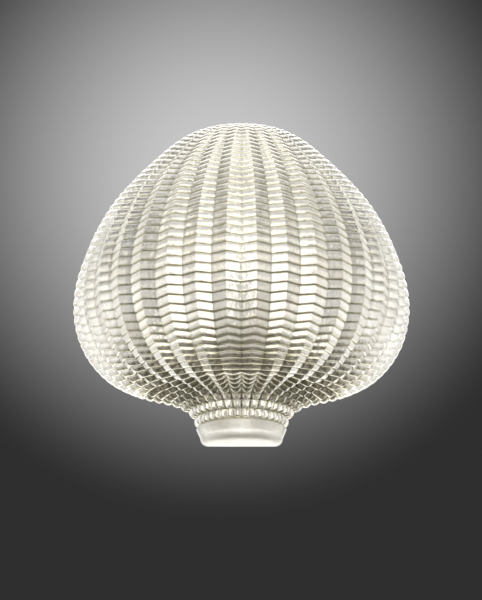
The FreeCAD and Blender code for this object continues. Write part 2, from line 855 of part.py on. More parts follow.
def clamp_heights():
    middle = block_bottom + block_height / 2
    return [middle - clamp_screw_pitch / 2, middle + clamp_screw_pitch / 2]


def block_fixing_spot():
    """Fixing hole of the block, between its first two poles."""
    return vec(block_left + pole_pitch, plate_face, block_bottom + block_height / 2)


def terminal_block():
    width = pole_pitch * pole_count
    body = block((block_left, block_left + width), (block_front, plate_face),
                 (block_bottom, block_bottom + block_height))
    upright = [edge for edge in body.Edges
               if edge.BoundBox.ZLength > block_height / 2 and edge.BoundBox.YMax < pole_y]
    body = body.makeFillet(block_rounding, upright)
    for i in range(pole_count):
        body = body.cut(cylinder(insert_outer, vec(pole_x(i), pole_y, block_bottom), up, block_height))
        for z in clamp_heights():
            body = body.cut(cylinder(block_screw_well, vec(pole_x(i), block_front, z),
                                     vec(0, 1, 0), block_depth / 2))
    fixing = block_fixing_spot()
    body = body.cut(cylinder(block_fixing_radius + running_gap, fixing, outwards, block_depth))
    well = cylinder(block_fixing_head + running_gap, vec(fixing.x, block_front, fixing.z),
                    vec(0, 1, 0), block_depth / 3)
    return body.cut(well)


def terminal_inserts():
    """Brass tunnels, each tapped for its two clamping screws."""
    inserts = []
    for i in range(pole_count):
        start = vec(pole_x(i), pole_y, block_bottom + insert_inset)
        insert = tube(insert_outer, insert_bore, start, up, block_height - 2 * insert_inset)
        for z in clamp_heights():
            middle = vec(pole_x(i), pole_y, z)
            insert = insert.cut(cylinder(block_screw_radius, middle, outwards, insert_outer))
        inserts.append(insert)
    return Part.makeCompound(inserts)


def terminal_screws():
    """Grub-like screws in the wells, their ends level with the wire bore."""
    screws = []
    for i in range(pole_count):
        for z in clamp_heights():
            start = vec(pole_x(i), pole_y - wire_radius - running_gap, z)
            face = block_front + block_screw_depth
            screw = cylinder(block_screw_radius, start, outwards, start.y - face)
            half = screw_slot_width / 2
            slot = block((start.x - block_screw_radius, start.x + block_screw_radius),
                         (face, face + screw_slot_depth), (z - half, z + half))
            screws.append(screw.cut(slot))
    return Part.makeCompound(screws)


def terminal_block_screw():
    fixing = block_fixing_spot()
    seat = vec(fixing.x, block_front + block_depth / 3, fixing.z)
    head = slotted_head(seat, outwards, block_fixing_head, block_fixing_head * 0.8)
    length = block_depth * 2 / 3 + plate_sheet + block_fixing_past
    shank = cylinder(block_fixing_radius, seat, vec(0, 1, 0), length)
    return head.fuse(shank)


# Earth point

def earth_lug():
    """Ring lug with a crimp barrel that hangs down from it."""
    centre = vec(earth_x, plate_face, earth_z)
    ring = cylinder(lug_radius, centre, outwards, lug_thickness)
    neck = block((earth_x - lug_barrel_radius, earth_x + lug_barrel_radius),
                 (plate_face, plate_face - lug_thickness), (earth_z - lug_radius - 2 * lug_neck, earth_z))
    barrel_top = vec(earth_x, plate_face - lug_barrel_radius, earth_z - lug_radius - lug_neck)
    barrel = cylinder(lug_barrel_radius, barrel_top, up * -1, lug_barrel_length)
    lug = ring.fuse(neck).fuse(barrel)
    lug = lug.cut(cylinder(wire_radius + running_gap, barrel_top - up * lug_barrel_length, up,
                           lug_barrel_length * 0.8))
    return lug.cut(cylinder(earth_screw_radius + running_gap, centre, outwards, lug_thickness))


def earth_washer():
    start = vec(earth_x, plate_face - lug_thickness, earth_z)
    bore = earth_screw_radius + running_gap
    return tube(earth_washer_radius, bore, start, outwards, earth_washer_thickness)


def earth_screw():
    seat = vec(earth_x, plate_face - lug_thickness - earth_washer_thickness, earth_z)
    head = slotted_head(seat, outwards, earth_head_radius, earth_head)
    length = lug_thickness + earth_washer_thickness + plate_sheet + earth_screw_past
    return head.fuse(cylinder(earth_screw_radius, seat, vec(0, 1, 0), length))


# Inlet grommet

def cable_grommet():
    """Rubber ring snapped into the plate, with a groove for the sheet."""
    front = -plate_face + grommet_lip
    back = plate_stand_off - grommet_lip
    bevel = grommet_lip / 2
    outline = [
        (grommet_bore, back), (grommet_flange - bevel, back), (grommet_flange, back + bevel),
        (grommet_flange, plate_stand_off), (grommet_hole, plate_stand_off), (grommet_hole, -plate_face),
        (grommet_flange, -plate_face), (grommet_flange, front - bevel),
        (grommet_flange - bevel, front), (grommet_bore, front),
    ]
    ring = turned(outline)
    ring.rotate(vec(0, 0, 0), across, 90)
    return moved(ring, grommet_x, 0, grommet_z)


# Inner wires

def wire_to_holder(pole, side, drop):
    """Lead from a pole of the block, under the bracket and up through the nipple to its terminal."""
    x = side * wire_spacing / 2
    level = block_bottom - drop
    terminal = vec(side * wire_hole_offset, -holder_reach, core_bottom - terminal_size)
    crossing = bracket_level + cap_boss_height + 5 * wire_radius
    points = [
        vec(pole_x(pole), pole_y, block_bottom + block_height / 3),
        vec(pole_x(pole), pole_y, level),
        vec(pole_x(pole) - lead_turn[0], pole_y - lead_turn[1], level),
        vec(x, -holder_reach, level),
        vec(x, -holder_reach, crossing),
        vec(terminal.x, terminal.y, crossing + wire_radius),
        vec(terminal.x, terminal.y, terminal.z + terminal_size / 2),
    ]
    return round_wire(points, wire_radius)


def wire_earth():
    lug_y = plate_face - lug_barrel_radius
    barrel_bottom = earth_z - lug_radius - lug_neck - lug_barrel_length
    level = block_bottom - earth_drop
    points = [
        vec(pole_x(pole_count - 1), pole_y, block_bottom + block_height / 3),
        vec(pole_x(pole_count - 1), pole_y, level),
        vec(earth_x, lug_y, level),
        vec(earth_x, lug_y, barrel_bottom + lug_barrel_length / 2),
    ]
    return round_wire(points, wire_radius)


pieces = {
    "glass_shell": glass_shell,
    "clamp_washer": clamp_washer,
    "clamp_screw": clamp_screw,
    "back_plate": back_plate,
    "shelf_nut": shelf_nut,
    "shelf_pad": shelf_pad,
    "tongue_buffer": tongue_buffer,
    "lampholder_bracket": lampholder_bracket,
    "bracket_rivets": bracket_rivets,
    "nipple": nipple,
    "nipple_washer": nipple_washer,
    "nipple_nut": nipple_nut,
    "holder_cap": holder_cap,
    "holder_sleeve": holder_sleeve,
    "holder_core": holder_core,
    "screw_shell": screw_shell,
    "centre_contact": centre_contact,
    "holder_terminals": holder_terminals,
    "holder_terminal_screws": holder_terminal_screws,
    "bulb_globe": bulb_globe,
    "bulb_cap": bulb_cap,
    "bulb_insulator": bulb_insulator,
    "bulb_contact": bulb_contact,
    "terminal_block": terminal_block,
    "terminal_inserts": terminal_inserts,
    "terminal_screws": terminal_screws,
    "terminal_block_screw": terminal_block_screw,
    "earth_lug": earth_lug,
    "earth_washer": earth_washer,
    "earth_screw": earth_screw,
    "cable_grommet": cable_grommet,
    "wire_live": lambda: wire_to_holder(0, 1, live_drop),
    "wire_neutral": lambda: wire_to_holder(1, -1, neutral_drop),
    "wire_earth": wire_earth,
}

os.makedirs("parts", exist_ok=True)
for name, make in pieces.items():
    shape = make()
    if not shape.isValid() or not shape.Solids:
        print("not a sound solid:", name)
    shape.exportStep("parts/" + name + ".step")
    box = shape.BoundBox
    print(name, len(shape.Solids), "solids", round(shape.Volume), "mm3",
          [round(v, 1) for v in (box.XMin, box.XMax, box.YMin, box.YMax, box.ZMin, box.ZMax)])
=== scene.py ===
import bpy
import bmesh
import json
import math
import numpy as np
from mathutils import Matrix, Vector

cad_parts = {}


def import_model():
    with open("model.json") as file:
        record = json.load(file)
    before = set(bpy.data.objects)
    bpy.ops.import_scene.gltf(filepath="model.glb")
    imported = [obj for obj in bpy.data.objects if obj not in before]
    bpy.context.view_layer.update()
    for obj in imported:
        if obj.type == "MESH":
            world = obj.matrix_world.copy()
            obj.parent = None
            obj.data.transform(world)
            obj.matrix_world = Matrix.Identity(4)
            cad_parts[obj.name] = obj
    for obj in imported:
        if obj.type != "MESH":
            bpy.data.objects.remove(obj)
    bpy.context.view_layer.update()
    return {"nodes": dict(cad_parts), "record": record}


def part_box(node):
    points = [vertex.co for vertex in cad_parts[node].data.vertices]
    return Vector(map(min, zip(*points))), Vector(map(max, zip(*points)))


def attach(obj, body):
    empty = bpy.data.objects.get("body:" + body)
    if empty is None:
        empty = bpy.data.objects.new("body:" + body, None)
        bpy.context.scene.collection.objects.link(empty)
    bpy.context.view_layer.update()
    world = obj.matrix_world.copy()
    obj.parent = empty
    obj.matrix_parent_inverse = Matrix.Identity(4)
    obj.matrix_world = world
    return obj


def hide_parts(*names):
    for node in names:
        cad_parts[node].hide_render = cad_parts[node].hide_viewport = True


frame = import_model()
print("frame loaded:", len(frame["nodes"]), "nodes")

making = {
    "weld": 0.00001,            # points nearer to each other than this become one
    "smoothAngle": 35,          # degrees between two faces, above which their edge stays crisp
    "starter": 0.01,            # side of the plane that is emptied for each spun line
}


def deselectAll():
    if bpy.context.mode != "OBJECT":
        bpy.ops.object.mode_set(mode="OBJECT")
    bpy.ops.object.select_all(action="DESELECT")


def makeActive(obj):
    deselectAll()
    obj.select_set(True)
    bpy.context.view_layer.objects.active = obj


def editAll(obj):
    makeActive(obj)
    bpy.ops.object.mode_set(mode="EDIT")
    bpy.ops.mesh.select_all(action="SELECT")


def nameIt(name):
    obj = bpy.context.object
    obj.name = name
    obj.data.name = name
    return obj


# the object ends at the origin, and its place lies in its mesh
def placeInMesh(obj):
    makeActive(obj)
    bpy.ops.object.transform_apply(location=True, rotation=True, scale=True)


def finishPiece(obj, body, material):
    placeInMesh(obj)
    bpy.ops.object.shade_smooth_by_angle(angle=math.radians(making["smoothAngle"]))
    obj.data.materials.clear()
    obj.data.materials.append(material)
    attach(obj, body)


def coordsOf(mesh):
    flat = np.empty(len(mesh.vertices) * 3)
    mesh.vertices.foreach_get("co", flat)
    return flat.reshape(-1, 3)


def setCoords(mesh, coords):
    mesh.vertices.foreach_set("co", coords.ravel())
    mesh.update()


def emptyPiece(name):
    deselectAll()
    bpy.ops.mesh.primitive_plane_add(size=making["starter"])
    obj = nameIt(name)
    bpy.ops.object.mode_set(mode="EDIT")
    bpy.ops.mesh.delete(type="VERT")
    bpy.ops.object.mode_set(mode="OBJECT")
    return obj


# the points, joined one to the next by edges, and the last to the first if closed
def drawLine(mesh, points, closed=False):
    count = len(points)
    starts = np.arange(count if closed else count - 1)
    mesh.vertices.add(count)
    mesh.edges.add(len(starts))
    setCoords(mesh, points)
    mesh.edges.foreach_set("vertices", np.stack([starts, (starts + 1) % count], axis=1).ravel())


# one output of a node, so that shader maths reads as maths
class Val:
    def __init__(self, graph, socket):
        self.graph = graph
        self.socket = socket

    def math(self, operation, other=None):
        return self.graph.node("ShaderNodeMath", {"operation": operation}, [self, other])

    def __add__(self, other):
        return self.math("ADD", other)

    def __sub__(self, other):
        return self.math("SUBTRACT", other)

    def __rsub__(self, other):
        return self.graph.node("ShaderNodeMath", {"operation": "SUBTRACT"}, [other, self])

    def __mul__(self, other):
        return self.math("MULTIPLY", other)

    __radd__ = __add__
    __rmul__ = __mul__


# the nodes of a material or of the world
class Graph:
    def __init__(self, tree):
        self.tree = tree

    def feed(self, socket, value):
        if isinstance(value, Val):
            self.tree.links.new(value.socket, socket)
        elif socket.type == "RGBA":
            socket.default_value = (*value, 1)
        else:
            socket.default_value = value

    # adds any node and gives back one of its outputs
    def node(self, kind, settings=None, inputs=(), out=0):
        new = self.tree.nodes.new(kind)
        for label, value in (settings or {}).items():
            setattr(new, label, value)
        pairs = inputs.items() if isinstance(inputs, dict) else enumerate(inputs)
        for key, value in pairs:
            if value is not None:
                self.feed(new.inputs[key], value)
        return Val(self, new.outputs[out])

    def parts(self, vector):
        return [self.node("ShaderNodeSeparateXYZ", {}, [vector], out=k) for k in range(3)]

    # two numbers, and two colours, mixed by a factor
    def mixed(self, factor, first, second):
        return self.node("ShaderNodeMix", {"data_type": "FLOAT"}, {0: factor, 2: first, 3: second})

    def blend(self, factor, first, second):
        return self.node("ShaderNodeMix", {"data_type": "RGBA"}, {0: factor, 6: first, 7: second}, out=2)

    # from low to high the value goes from 0 to 1
    def between(self, value, low, high):
        return self.node("ShaderNodeMapRange", {"clamp": True}, [value, low, high])

    # a soft step: places from and to, and the levels there
    def softStep(self, value, ends):
        return self.node("ShaderNodeMapRange", {"interpolation_type": "SMOOTHSTEP"}, [value, *ends])


class Mat(Graph):
    def __init__(self, name, **sockets):
        self.data = bpy.data.materials.new(name)
        self.data.use_nodes = True
        super().__init__(self.data.node_tree)
        self.shader = self.tree.nodes["Principled BSDF"]
        for label, value in sockets.items():
            self.set(label, value)

    def set(self, label, value):
        self.feed(self.shader.inputs[label], value)

    # place on the object itself
    def place(self):
        return self.node("ShaderNodeTexCoord", out="Object")

    def noise(self, scale, detail=3.0, rough=0.5):
        return self.node("ShaderNodeTexNoise", {}, {"Vector": self.place(), "Scale": scale,
                                                     "Detail": detail, "Roughness": rough})

    def bump(self, height, strength, distance):
        return self.node("ShaderNodeBump", {}, {"Height": height, "Strength": strength, "Distance": distance})

    def attribute(self, name):
        return self.node("ShaderNodeAttribute", {"attribute_name": name}, out="Fac")


lustre = {
    "refraction": 1.5,
    "clear": 0.96,              # share of the light that passes
    "rough": 0.04,
    "silver": 0.46,             # how far the lustre mirrors, and what changes it
    "cloudSilver": 0.12,
    # more mirror in the painted shade under the lips and in the grooves
    "shadeLineSilver": 0.3,
    "lipSilver": 0.15,
    "plainSilver": 0.36,        # the collar and the foot are not pressed: less lustre, and a matt face
    "plainRough": 0.36,
    "cloudScale": 38.0,
    "cloudRange": (0.35, 0.68),
    "warm": (0.945, 0.91, 0.83),
    "pale": (0.97, 0.95, 0.89),
    # painted shade: the dark olive of the lines under the lips and in the grooves
    "paintedShadeColour": (0.35, 0.33, 0.20),
    "coat": (0.25, 0.03),       # weight and roughness
    "fineRipples": 240.0,
    "wideRipples": (95.0, 1.0, 1.6),    # scale, detail, and how much higher than the fine ones
    "rippleBump": (0.4, 0.0008),
}


def lustreGlass():
    s = lustre
    mat = Mat("lustre glass", IOR=s["refraction"])
    mat.set("Transmission Weight", s["clear"])
    groove, lip, plain = (mat.attribute(label) for label in ("groove", "lip", "plain"))
    mat.set("Roughness", s["rough"] + s["plainRough"] * plain)
    clouds = mat.between(mat.noise(s["cloudScale"]), *s["cloudRange"])
    # where groove is high the glass is painted with shade: it mirrors more and turns dark olive
    silver = s["silver"] + s["cloudSilver"] * clouds + s["shadeLineSilver"] * groove
    mat.set("Metallic", silver - s["lipSilver"] * lip - s["plainSilver"] * plain)
    mat.set("Base Color", mat.blend(groove, mat.blend(clouds, s["warm"], s["pale"]), s["paintedShadeColour"]))
    mat.set("Coat Weight", s["coat"][0])
    mat.set("Coat Roughness", s["coat"][1])
    scale, detail, height = s["wideRipples"]
    ripples = mat.noise(s["fineRipples"]) + height * mat.noise(scale, detail)
    mat.set("Normal", mat.bump(ripples, *s["rippleBump"]))
    return mat.data


shade = {
    "ribs": 18,
    "ribRelief": 0.0032,
    "ribEnds": 0.014,           # over this length the ribs rise at the hem and sink at the crown
    "rowPitch": 0.0071,
    "rowGrowth": 0.19,          # how much taller the rows are about the bulge
    "rowGrowthReach": 0.045,
    "rowRelief": 0.0013,
    "rowByRadius": 1.4,         # the rows are lower where the shade is narrow
    "rowLeast": 0.55,
    "rowAtGroove": 0.3,         # how much lower they are in the grooves between ribs
    "rowShape": (0.6, 3),       # how near to its lip a row is highest, and how square it is
    "lipShape": 6,
    # height above the foot, and how far a row climbs there between groove and crest
    "chevron": [(0.015, 0.0), (0.034, 0.0005), (0.045, 0.0036), (0.060, 0.0040), (0.080, 0.0028),
                (0.110, 0.0012), (0.150, 0.0004), (0.200, 0.0), (0.272, 0.0)],
    "levelAtCrown": 0.012,      # the rows run level over this length below the crown
    "beadRelief": 0.0019,
    "beadsUpTo": 0.034,
    "beadFade": (0.005, 0.006),         # the beads end this far above, over this length
    "beadShape": (0.8, 2.6),
    # painted shade round each bead in the neck
    "beadShade": 0.8,
    # the painted shade: dark lines under the lips and in the grooves
    "deepShadeBelow": 0.080,                 # they grow wider and darker below this height
    "deepOver": 0.05,
    "lineWidth": (0.25, 0.35),          # share of a row, and what depth adds
    "shadeLineDark": (0.95, 0.05),
    "lineEdge": 1.5,
    "faintSides": (0.3, 0.8, 0.35),     # fainter towards the rim: from, to, and how faint
    "grooveShadeLine": (0.45, 0.84, 0.16),   # dark, from where, and over what share of the rib
    "stepsPerRib": 10,
    "stepsPerRow": 7,
    "innerSteps": 48,
    "innerRings": 150,
    "innerMark": 10000,                 # number of the first inner ring
    "footSteps": 6,
    "cornerSteps": 6,
    "collarSteps": 9,
    "crownSteps": 6,
    "wall": 0.0036,
    "innerFloor": 0.005,
    "innerCornerSteps": 8,
    "rimGap": 0.001,
    "rimCentre": 0.00002,               # a rim point this near to the middle belongs to both halves
    "footDrop": 0.120,
    "hem": 0.015,
    "bulge": (0.1405, 0.117),
    "notch": (0.0026, 0.015),           # half width, and how far in front of the wall it ends
    "notchSides": 24,
    "crisp": 0.01,                      # nearer than this share to a crest or a groove an edge is sharp
    # radius and height above the foot, from the foot corner to the crown
    "outline": [(0.034, 0.0065), (0.0376, 0.015), (0.042, 0.024), (0.050, 0.030), (0.073, 0.036),
                (0.092, 0.042), (0.1075, 0.050), (0.119, 0.060), (0.130, 0.075), (0.1405, 0.117),
                (0.130, 0.165), (0.1055, 0.210), (0.076, 0.243), (0.052, 0.264), (0.032, 0.272)],
}


# a cubic line through the points, by chord length
def smoothLine(points, perSpan=60):
    pts = np.array(points)
    gaps = np.linalg.norm(np.diff(pts, axis=0), axis=1)
    n = len(pts)
    system = np.eye(n)
    right = np.zeros((n, 2))
    for k in range(1, n - 1):
        system[k, k - 1:k + 2] = gaps[k - 1], 2 * (gaps[k - 1] + gaps[k]), gaps[k]
        right[k] = 6 * ((pts[k + 1] - pts[k]) / gaps[k] - (pts[k] - pts[k - 1]) / gaps[k - 1])
    system[0, 1] = system[-1, -2] = -1
    bend = np.linalg.solve(system, right)
    line = []
    for k in range(n - 1):
        for b in np.linspace(0, 1, perSpan, endpoint=False):
            a = 1 - b
            line.append(a * pts[k] + b * pts[k + 1]
                        + ((a ** 3 - a) * bend[k] + (b ** 3 - b) * bend[k + 1]) * gaps[k] ** 2 / 6)
    return np.array(line + [pts[-1]])


# a flat line that knows its length, its points and its outward sides
class Line:
    def __init__(self, points):
        self.points = points
        steps = np.linalg.norm(np.diff(points, axis=0), axis=1)
        self.reach = np.concatenate([[0], np.cumsum(steps)])
        along = np.gradient(points, axis=0)
        along /= np.linalg.norm(along, axis=1)[:, None]
        self.sides = np.stack([along[:, 1], -along[:, 0]], axis=1)

    def length(self):
        return self.reach[-1]

    def at(self, place):
        return np.stack([np.interp(place, self.reach, self.points[:, k]) for k in (0, 1)], axis=-1)

    def normal(self, place):
        return np.stack([np.interp(place, self.reach, self.sides[:, k]) for k in (0, 1)], axis=-1)

    def atHeight(self, height):
        return np.interp(height, self.points[:, 1], self.reach)

    def evenly(self, count):
        return self.at(np.linspace(0, self.length(), count))


# a quarter turn from straight down to straight out, without its last point
def corner(side, bottom, radius, steps):
    turn = np.linspace(0, math.pi / 2, steps, endpoint=False)
    return np.stack([side - radius + radius * np.sin(turn), bottom + radius - radius * np.cos(turn)], axis=1)


# where each ring of the ribbed part lies, so that the rows grow towards the bulge
def rowStations(crest):
    s = shade
    fine = np.linspace(crest.atHeight(s["hem"]), crest.length(), 4000)
    above = crest.at(fine)[:, 1] - s["bulge"][1]
    pitch = s["rowPitch"] * (1 + s["rowGrowth"] * np.exp(-(above / s["rowGrowthReach"]) ** 2))
    rows = np.concatenate([[0], np.cumsum(np.diff(fine) / pitch[1:])])
    count = int(round(rows[-1]))
    print("rows of glass:", count)
    return np.interp(np.linspace(0, rows[-1], count * s["stepsPerRow"] + 1), rows, fine)


def climbOf(crest, place):
    heights, climbs = zip(*shade["chevron"])
    return np.interp(place, crest.atHeight(heights), climbs)


# a half lathe of the line, in which each point knows its place along it
def spunShell(name, line, steps, mark=0):
    obj = emptyPiece(name)
    mesh = obj.data
    drawLine(mesh, np.stack([line[:, 0], np.zeros(len(line)), line[:, 1]], axis=1))
    along = mesh.attributes.new("along", "INT", "POINT")
    along.data.foreach_set("value", np.arange(len(line)) + mark)
    editAll(obj)
    bpy.ops.mesh.spin(steps=steps, angle=math.pi, center=(0, 0, 0), axis=(0, 0, 1))
    bpy.ops.object.mode_set(mode="OBJECT")
    coords = coordsOf(mesh)
    if coords[:, 1].mean() > 0:
        coords[:, 1] *= -1
        setCoords(mesh, coords)
    return obj


# the lathe is moved to its place on the plate: in front of the wall by the gap, and down to the foot
def seatShell(radius, angle, height):
    s = shade
    squeeze = 1 - s["rimGap"] / s["bulge"][0]
    return np.stack([radius * np.cos(angle), -s["rimGap"] - radius * np.sin(angle) * squeeze,
                     height - s["footDrop"]], axis=1)


# ribs and rows pressed into the smooth lathe, whose ring number first is the hem
def pressRibs(mesh, crest, stations, first):
    s = shade
    ring = np.empty(len(mesh.vertices), dtype=np.int32)
    mesh.attributes["along"].data.foreach_get("value", ring)
    last = first + len(stations) - 1
    ribbed = (ring >= first) & (ring <= last)
    coords = coordsOf(mesh)
    angle = np.arctan2(np.abs(coords[:, 1]), coords[:, 0])
    across = np.abs((angle / (math.pi / s["ribs"])) % 1.0 * 2 - 1)      # 0 on a crest, 1 in a groove
    number = np.clip(ring - first, 0, len(stations) - 1)
    phase = (number % s["stepsPerRow"]) / s["stepsPerRow"]              # 0 just above a lip
    place = stations[number]
    ends = np.minimum(place - stations[0], stations[-1] - place)
    level = np.clip((stations[-1] - place) / s["levelAtCrown"], 0, 1)
    place = place + climbOf(crest, place) * (1 - across) * level
    radius = crest.at(place)[:, 0] / s["bulge"][0]
    rib = s["ribRelief"] * radius * across * np.sin(np.clip(ends / s["ribEnds"], 0, 1) * math.pi / 2)
    lean, square = s["rowShape"]
    pillow = 1 - np.abs(2 * phase ** lean - 1) ** square
    ledge = s["rowRelief"] * np.clip(radius * s["rowByRadius"], s["rowLeast"], 1)
    ledge = ledge * (1 - s["rowAtGroove"] * across ** 4)
    # in the neck each cell is a bead by itself
    above, over = s["beadFade"]
    beaded = np.clip((crest.atHeight(s["beadsUpTo"] + above) - place) / over, 0, 1)
    lean, square = s["beadShape"]
    bead = np.sin(math.pi * phase ** lean) * (1 - across ** square)
    depth = rib + (1 - beaded) * ledge * (1 - pillow) + beaded * s["beadRelief"] * (1 - bead)
    pressed = crest.at(place) - crest.normal(place) * depth[:, None]
    smooth = np.stack([np.hypot(coords[:, 0], coords[:, 1]), coords[:, 2]], axis=1)
    shape = np.where(ribbed[:, None], pressed, smooth)
    coords = seatShell(shape[:, 0], angle, shape[:, 1])
    setCoords(mesh, coords)
    # the groove attribute is painted shade: dark lines under the lips, in the grooves and round each bead
    lines = paintedShadeLines(coords[:, 2] + s["footDrop"], angle, across, phase)
    shown = {"groove": np.where(ribbed, lines * (1 - beaded) + s["beadShade"] * beaded * (1 - bead) ** 2, 0),
             "lip": np.where(ribbed, pillow ** s["lipShape"] * (1 - across ** 2), 0),
             "plain": np.where(ribbed | (ring > last), 0, 1)}
    for label, value in shown.items():
        layer = mesh.attributes.new(label, "FLOAT", "POINT")
        layer.data.foreach_set("value", np.clip(value, 0, 1).astype(float))
    markSharp(mesh, ring, across, first, last)


# painted shade: how dark the glass is under each lip and in each groove, by height above the foot
def paintedShadeLines(height, angle, across, phase):
    s = shade
    low = np.clip((s["deepShadeBelow"] - height) / s["deepOver"], 0, 1)
    width, wider = s["lineWidth"]
    dark, darker = s["shadeLineDark"]
    lines = (dark + darker * low) * np.clip(1 - phase / (width + wider * low), 0, 1) ** s["lineEdge"]
    start, end, least = s["faintSides"]
    lines = lines * (least + (1 - least) * np.clip((np.sin(angle) - start) / (end - start), 0, 1))
    dark, start, over = s["grooveShadeLine"]
    return np.maximum(lines, dark * np.clip((across - start) / over, 0, 1) ** 2)


# the crests, the grooves and the lines between rows stay crisp
def markSharp(mesh, ring, across, first, last):
    pairs = np.empty(len(mesh.edges) * 2, dtype=np.int32)
    mesh.edges.foreach_get("vertices", pairs)
    a, b = pairs.reshape(-1, 2).T
    inside = (ring[a] >= first) & (ring[a] <= last) & (ring[b] >= first) & (ring[b] <= last)
    onCrest = np.maximum(across[a], across[b]) < shade["crisp"]
    inGroove = np.minimum(across[a], across[b]) > 1 - shade["crisp"]
    betweenRows = (ring[a] == ring[b]) & ((ring[a] - first) % shade["stepsPerRow"] == 0)
    sharp = mesh.attributes.new("sharp_edge", "BOOLEAN", "EDGE")
    sharp.data.foreach_set("value", inside & (onCrest | inGroove | betweenRows))


# one flat face for each half of the rim, between the outer and the inner wall
def closeRim(mesh):
    bm = bmesh.from_edit_mesh(mesh)
    along = bm.verts.layers.int["along"]
    rim = [v for v in bm.verts if v.is_boundary]
    for side in (-1, 1):
        half = [v for v in rim if v.co.x * side > -shade["rimCentre"]]
        outer = sorted((v for v in half if v[along] < shade["innerMark"]), key=lambda v: v[along])
        inner = sorted((v for v in half if v[along] >= shade["innerMark"]), key=lambda v: -v[along])
        bm.faces.new(outer + inner)
    bmesh.update_edit_mesh(mesh)


# foot, collar, a ring for each station and the crown, as one line, and the number of the first station
def outerWall(crest, stations):
    s = shade
    side, radius = s["outline"][0]
    edge = corner(side, 0, radius, s["cornerSteps"])
    foot = np.linspace(0, edge[0, 0], s["footSteps"], endpoint=False)
    foot = np.stack([foot, np.zeros(s["footSteps"])], axis=1)
    collar = crest.at(np.linspace(0, stations[0], s["collarSteps"], endpoint=False))
    top = crest.at(stations[-1])
    crown = np.linspace(top[0], 0, s["crownSteps"] + 1)[1:]
    crown = np.stack([crown, np.full(s["crownSteps"], top[1])], axis=1)
    plain = np.concatenate([foot, edge, collar])
    return np.concatenate([plain, crest.at(stations), crown]), len(plain)


# a smooth line inside the grooves
def innerWall(crest):
    s = shade
    floor = s["innerFloor"]
    inset = s["wall"] + s["ribRelief"] * crest.points[:, 0] / s["bulge"][0]
    side = crest.points - crest.sides * inset[:, None]
    top = s["outline"][-1][1] - s["wall"]
    side = side[(side[:, 1] > 2 * floor) & (side[:, 1] < top)]
    edge = corner(side[0, 0], floor, floor, s["innerCornerSteps"])
    line = np.concatenate([[[0, floor]], edge, side, [[side[-1, 0], top], [0, top]]])
    return Line(line).evenly(s["innerRings"])


# the slot in the crown that the clamp screw stands in, open towards the wall
def cutNotch(obj):
    half, reach = shade["notch"]
    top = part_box("glass_shell")[1][2]
    deselectAll()
    bpy.ops.mesh.primitive_cylinder_add(vertices=shade["notchSides"], radius=half, depth=5 * half,
                                        location=(0, -reach, top))
    cutter = nameIt("notch_cutter")
    placeInMesh(cutter)
    coords = coordsOf(cutter.data)
    coords[coords[:, 1] > -reach + 0.1 * half, 1] = half        # its rear half is drawn out past the rim
    setCoords(cutter.data, coords)
    makeActive(obj)
    cut = obj.modifiers.new("notch", "BOOLEAN")
    cut.operation = "DIFFERENCE"
    cut.solver = "EXACT"
    cut.object = cutter
    bpy.ops.object.modifier_apply(modifier=cut.name)
    bpy.data.objects.remove(cutter)


def glassShade(material):
    s = shade
    crest = Line(smoothLine(s["outline"]))
    stations = rowStations(crest)
    line, first = outerWall(crest, stations)
    outer = spunShell("glass_shade", line, s["ribs"] * s["stepsPerRib"])
    pressRibs(outer.data, crest, stations, first)
    inner = spunShell("glass_inside", innerWall(crest), s["innerSteps"], s["innerMark"])
    coords = coordsOf(inner.data)
    coords[:, 1] = -s["rimGap"] + coords[:, 1] * (1 - s["rimGap"] / s["bulge"][0])
    coords[:, 2] -= s["footDrop"]
    setCoords(inner.data, coords)
    for obj in (outer, inner):
        editAll(obj)
        bpy.ops.mesh.remove_doubles(threshold=making["weld"])
        bpy.ops.object.mode_set(mode="OBJECT")
    makeActive(outer)
    inner.select_set(True)
    bpy.ops.object.join()
    bpy.ops.object.mode_set(mode="EDIT")
    closeRim(outer.data)
    bpy.ops.mesh.select_all(action="SELECT")
    bpy.ops.mesh.normals_make_consistent(inside=False)
    bpy.ops.mesh.faces_shade_smooth()
    bpy.ops.object.mode_set(mode="OBJECT")
    cutNotch(outer)
    placeInMesh(outer)
    outer.data.materials.append(material)
    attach(outer, "shade")
    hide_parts("glass_shell")
    return outer


glass = glassShade(lustreGlass())


finish = {
    "cloudRange": (0.32, 0.68),         # the noise between these becomes clouds
    "grainRange": (0.35, 0.65),
    "cloudShare": 0.7,                  # of the shading, and grain has the rest
    "grainShare": 0.3,
    "roughClear": 0.85,                 # share of the roughness where no cloud is, and what a cloud adds
    "roughCloud": 0.3,
    "roughGrain": 0.06,
    "grainHeight": 0.0003,
}
plating = {
    "clouds": 60.0,
    "fields": 420.0,
    "fieldShare": 0.35,
    "cloudShare": 0.5,
    "roughClear": 0.75,
    "roughField": 0.5,
    "roughScratch": 0.08,
    "scratches": (2500.0, 2500.0, 120.0),       # how fine across, and along
    "scratchBump": (0.12, 0.0001),
}
stripes = {"green": (0.14, 0.36, 0.07), "yellow": (0.78, 0.68, 0.06), "wave": 1150.0, "slant": 0.6,
           "edge": (0.1, 0.3)}
bakedClay = {"clay": (0.80, 0.775, 0.70), "shadow": (0.72, 0.69, 0.61), "pore": (0.45, 0.41, 0.35),
             "poreScale": 900.0, "poreEdge": (0.08, 0.16)}
opal = {
    "rough": 0.28,
    "clouds": 45.0,
    "cloudRange": (0.3, 0.7),
    "glass": [(0.93, 0.92, 0.88), (0.96, 0.95, 0.92)],
    "glow": [(1.0, 0.96, 0.88), (0.94, 0.89, 0.79)],
    "strength": 0.3,
    "coat": 0.5,
    "grain": 500.0,
    "grainBump": (0.05, 0.0002),
}


def clouded(mat, scale):
    return mat.between(mat.noise(scale, 5.0, 0.6), *finish["cloudRange"])


def shaded(colour, factor):
    return tuple(part * factor for part in colour)


